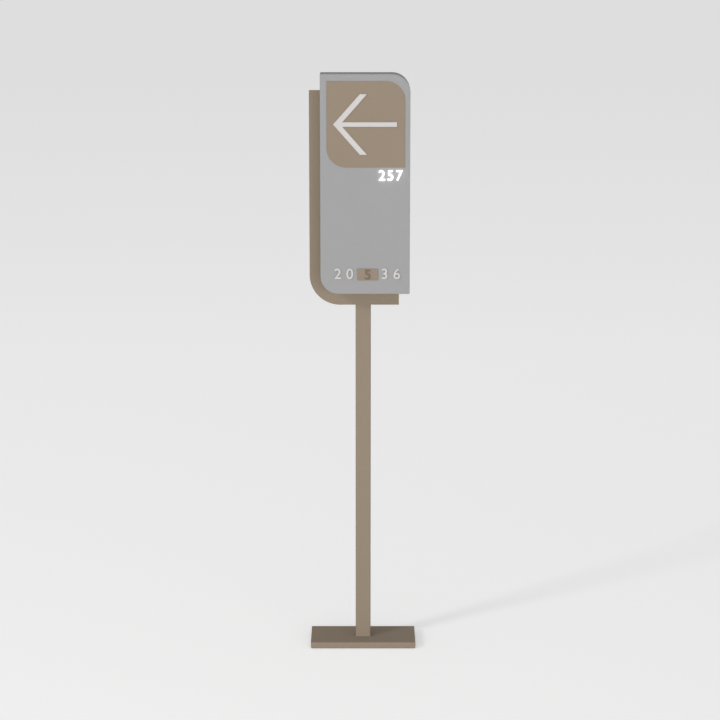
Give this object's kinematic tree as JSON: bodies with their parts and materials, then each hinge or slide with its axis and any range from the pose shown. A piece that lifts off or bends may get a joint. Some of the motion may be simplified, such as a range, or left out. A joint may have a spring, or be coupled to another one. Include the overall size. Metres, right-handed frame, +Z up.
{
  "type": "directional sign",
  "caption": "Free-standing directional sign: base plate, slim square post, rear plate and an offset lit box with a raised arrow pointing left.",
  "frame": {"origin": "on the floor, under the middle of the base plate and the post", "axes": "+Z up along the post; -Y is the side that is read; +X to the reader's right"},
  "size_m": [0.35, 0.1957, 1.917],
  "materials": {
    "taupe_paint": "fine-textured matt powder coat",
    "grey_paint": "fine-textured matt powder coat",
    "off_white_paint": "satin paint",
    "zinc": "bright zinc plate",
    "black_rubber": "matt",
    "taupe_plastic": "fine moulded texture",
    "white_plastic": "moulded",
    "opal_acrylic": "opal, satin",
    "circuit_board": "solder mask",
    "driver_case": "plain extrusion",
    "black_sheath": "PVC sheath"
  },
  "bodies": {
    "root": {"floor_mat": "black_rubber", "base_plate": "taupe_paint", "foot_block": "zinc", "foot_bush": "black_rubber", "post": "taupe_paint", "post_cap": "taupe_plastic", "rear_plate": "taupe_paint", "cable_bush": "black_rubber", "back_tray": "grey_paint", "front_shell": "grey_paint", "inset_plate": "taupe_paint", "arrow_plate": "off_white_paint", "light_cup": "white_plastic", "led_board": "circuit_board", "led_diffuser": "opal_acrylic", "led_driver": "driver_case", "terminal_block": "white_plastic", "terminal_screw": "zinc", "led_lead": "black_sheath", "foot_bolt_1": "zinc", "foot_bolt_2": "zinc", "foot_bolt_3": "zinc", "foot_bolt_4": "zinc", "foot_screw_1": "zinc", "foot_screw_2": "zinc", "rivet_nut_1": "zinc", "rivet_nut_2": "zinc", "rivet_nut_3": "zinc", "rivet_nut_4": "zinc", "head_washer_1": "zinc", "head_washer_2": "zinc", "head_washer_3": "zinc", "head_washer_4": "zinc", "head_bolt_1": "zinc", "head_bolt_2": "zinc", "head_bolt_3": "zinc", "head_bolt_4": "zinc", "plate_screw_1": "zinc", "plate_screw_2": "zinc", "plate_screw_3": "zinc", "plate_screw_4": "zinc", "edge_screw_1": "zinc", "edge_screw_2": "zinc", "edge_screw_3": "zinc", "edge_screw_4": "zinc", "edge_screw_5": "zinc", "edge_screw_6": "zinc", "stud_nut_1": "zinc", "stud_nut_2": "zinc", "stud_nut_3": "zinc", "cup_nut_1": "zinc", "cup_nut_2": "zinc", "cup_nut_3": "zinc", "cup_nut_4": "zinc", "driver_screw_1": "zinc", "driver_screw_2": "zinc", "lead_clip_1": "white_plastic", "lead_clip_2": "white_plastic"}
  },
  "joints": []
}
